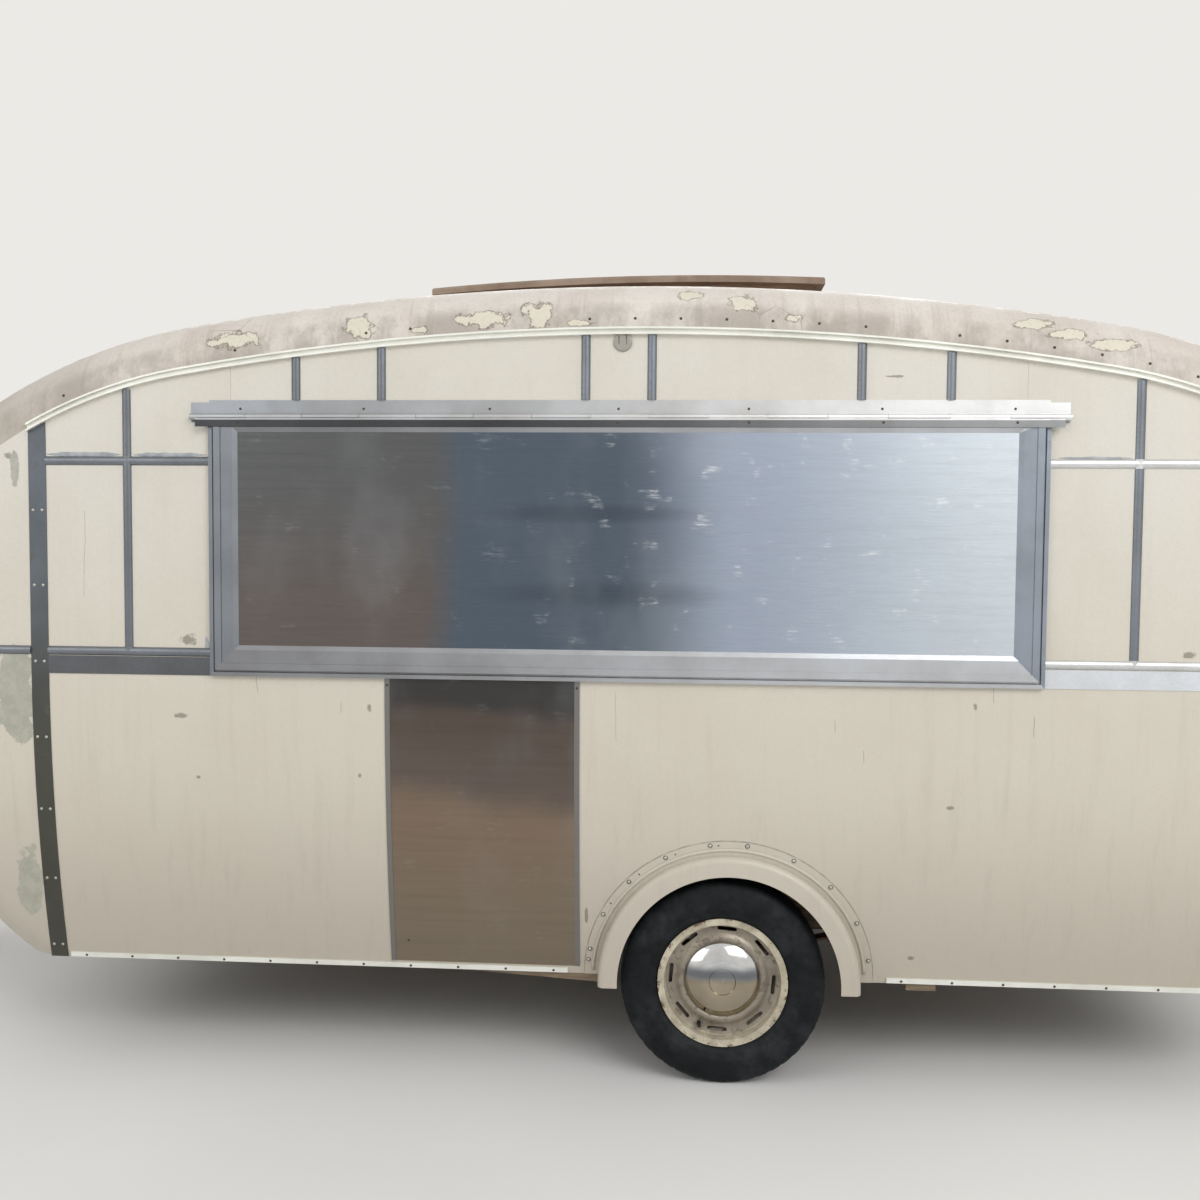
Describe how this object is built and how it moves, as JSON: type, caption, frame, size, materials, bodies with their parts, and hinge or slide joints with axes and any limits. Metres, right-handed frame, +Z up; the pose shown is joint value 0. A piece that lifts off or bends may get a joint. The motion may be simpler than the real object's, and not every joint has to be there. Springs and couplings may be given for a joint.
{
  "type": "vintage caravan",
  "caption": "single-axle touring caravan with a curved roof, roof lantern, serving hatch in the near side, off-side door, wheel spats, A-frame drawbar, jockey wheel and corner steadies",
  "frame": {"origin": "on the ground under the middle of the overall length and width, as it parks", "axes": "+X to the rear, +Y to the off side, +Z up"},
  "size_m": [5.264, 2.052, 2.3439],
  "materials": {
    "wall_paint": "aged cream gloss, greyer low down",
    "roof_paint": "weathered pinkish cream, stained",
    "lantern_paint": "weathered brown",
    "lantern_wood": "weathered brown",
    "floor_board": "dull board",
    "bright_trim": "dull bright",
    "bead_trim": "oxidised",
    "grey_trim": "dark grey, oxidised",
    "hatch_metal": "satin",
    "panel_metal": "brushed in swirls",
    "infill_metal": "bare sheet, dulled and scuffed",
    "eye_metal": "dull cast plate",
    "tail_plastic": "red lens",
    "fitting_chrome": "worn",
    "window_glass": "clear",
    "chassis_paint": "matt black with rust",
    "cast_metal": "painted grey, worn",
    "jockey_steel": "dull zinc",
    "jockey_rubber": "matt",
    "spring_steel": "dark, rusty",
    "rim_paint": "cream and silver with rust",
    "cap_chrome": "worn chrome",
    "tyre": "dusty black"
  },
  "bodies": {
    "body": {"near_wall": "wall_paint", "off_wall": "wall_paint", "front_wall": "wall_paint", "rear_wall": "wall_paint", "door_infill": "infill_metal", "spat_near": "wall_paint", "spat_off": "wall_paint", "roof": "roof_paint", "lantern_roof": "lantern_paint", "lantern_curb": "lantern_wood", "floor": "floor_board", "awning_rails": "bright_trim", "side_mouldings": "bead_trim", "sill_strips": "bright_trim", "corner_strips": "grey_trim", "hatch_surround": "hatch_metal", "eye_plate": "eye_metal", "foot_packers": "floor_board", "tail_lamps": "tail_plastic", "door_hinges": "fitting_chrome", "window_frames": "bright_trim", "window_glass": "window_glass", "chassis": "chassis_paint", "coupling": "cast_metal", "jockey_clamp": "jockey_steel", "axle": "chassis_paint", "springs": "spring_steel"},
    "hatch_flap": {"hatch_frame": "hatch_metal", "hatch_panel": "panel_metal"},
    "entrance_door": {"door": "wall_paint", "door_furniture": "fitting_chrome", "door_glass": "window_glass"},
    "wheel_near": {"hub_near": "cast_metal", "rim_near": "rim_paint", "tyre_near": "tyre", "hubcap_near": "cap_chrome"},
    "wheel_off": {"hub_off": "cast_metal", "rim_off": "rim_paint", "tyre_off": "tyre", "hubcap_off": "cap_chrome"},
    "jockey_post": {"jockey_stem": "jockey_steel"},
    "jockey_swivel": {"jockey_fork": "jockey_steel"},
    "jockey_roller": {"jockey_wheel": "jockey_rubber"},
    "steady_1": {"steady_front_near": "jockey_steel"},
    "steady_2": {"steady_front_off": "jockey_steel"},
    "steady_3": {"steady_rear_near": "jockey_steel"},
    "steady_4": {"steady_rear_off": "jockey_steel"}
  },
  "joints": [
    {"name": "wheel_near_spin", "type": "hinge", "parent": "body", "child": "wheel_near", "pos_m": [0.786, -0.882, 0.289], "axis": [0, 1, 0], "continuous": true},
    {"name": "wheel_off_spin", "type": "hinge", "parent": "body", "child": "wheel_off", "pos_m": [0.786, 0.882, 0.289], "axis": [0, 1, 0], "continuous": true},
    {"name": "hatch_hinge", "type": "hinge", "parent": "body", "child": "hatch_flap", "pos_m": [0.4865, -1.0025, 1.862], "axis": [-1, 0, 0], "range_deg": [0, 95]},
    {"name": "door_hinge", "type": "hinge", "parent": "body", "child": "entrance_door", "pos_m": [-0.1625, 1, 1.1], "axis": [0, 0, 1], "range_deg": [0, 110]},
    {"name": "jockey_slide", "type": "slide", "parent": "body", "child": "jockey_post", "axis": [0, 0, 1], "range_m": [0, 0.085]},
    {"name": "jockey_swivel", "type": "hinge", "parent": "jockey_post", "child": "jockey_swivel", "pos_m": [-2.094, -0.1804, 0.229], "axis": [0, 0, 1], "continuous": true},
    {"name": "jockey_spin", "type": "hinge", "parent": "jockey_swivel", "child": "jockey_roller", "pos_m": [-2.049, -0.1804, 0.1], "axis": [0, 1, 0], "continuous": true},
    {"name": "steady_front_near_fold", "type": "hinge", "parent": "body", "child": "steady_1", "pos_m": [-1.074, -0.68, 0.345], "axis": [0, 1, 0], "range_deg": [0, 50]},
    {"name": "steady_front_off_fold", "type": "hinge", "parent": "body", "child": "steady_2", "pos_m": [-1.074, 0.68, 0.345], "axis": [0, 1, 0], "range_deg": [0, 50]},
    {"name": "steady_rear_near_fold", "type": "hinge", "parent": "body", "child": "steady_3", "pos_m": [2.126, -0.68, 0.345], "axis": [0, -1, 0], "range_deg": [0, 50]},
    {"name": "steady_rear_off_fold", "type": "hinge", "parent": "body", "child": "steady_4", "pos_m": [2.126, 0.68, 0.345], "axis": [0, -1, 0], "range_deg": [0, 50]}
  ]
}
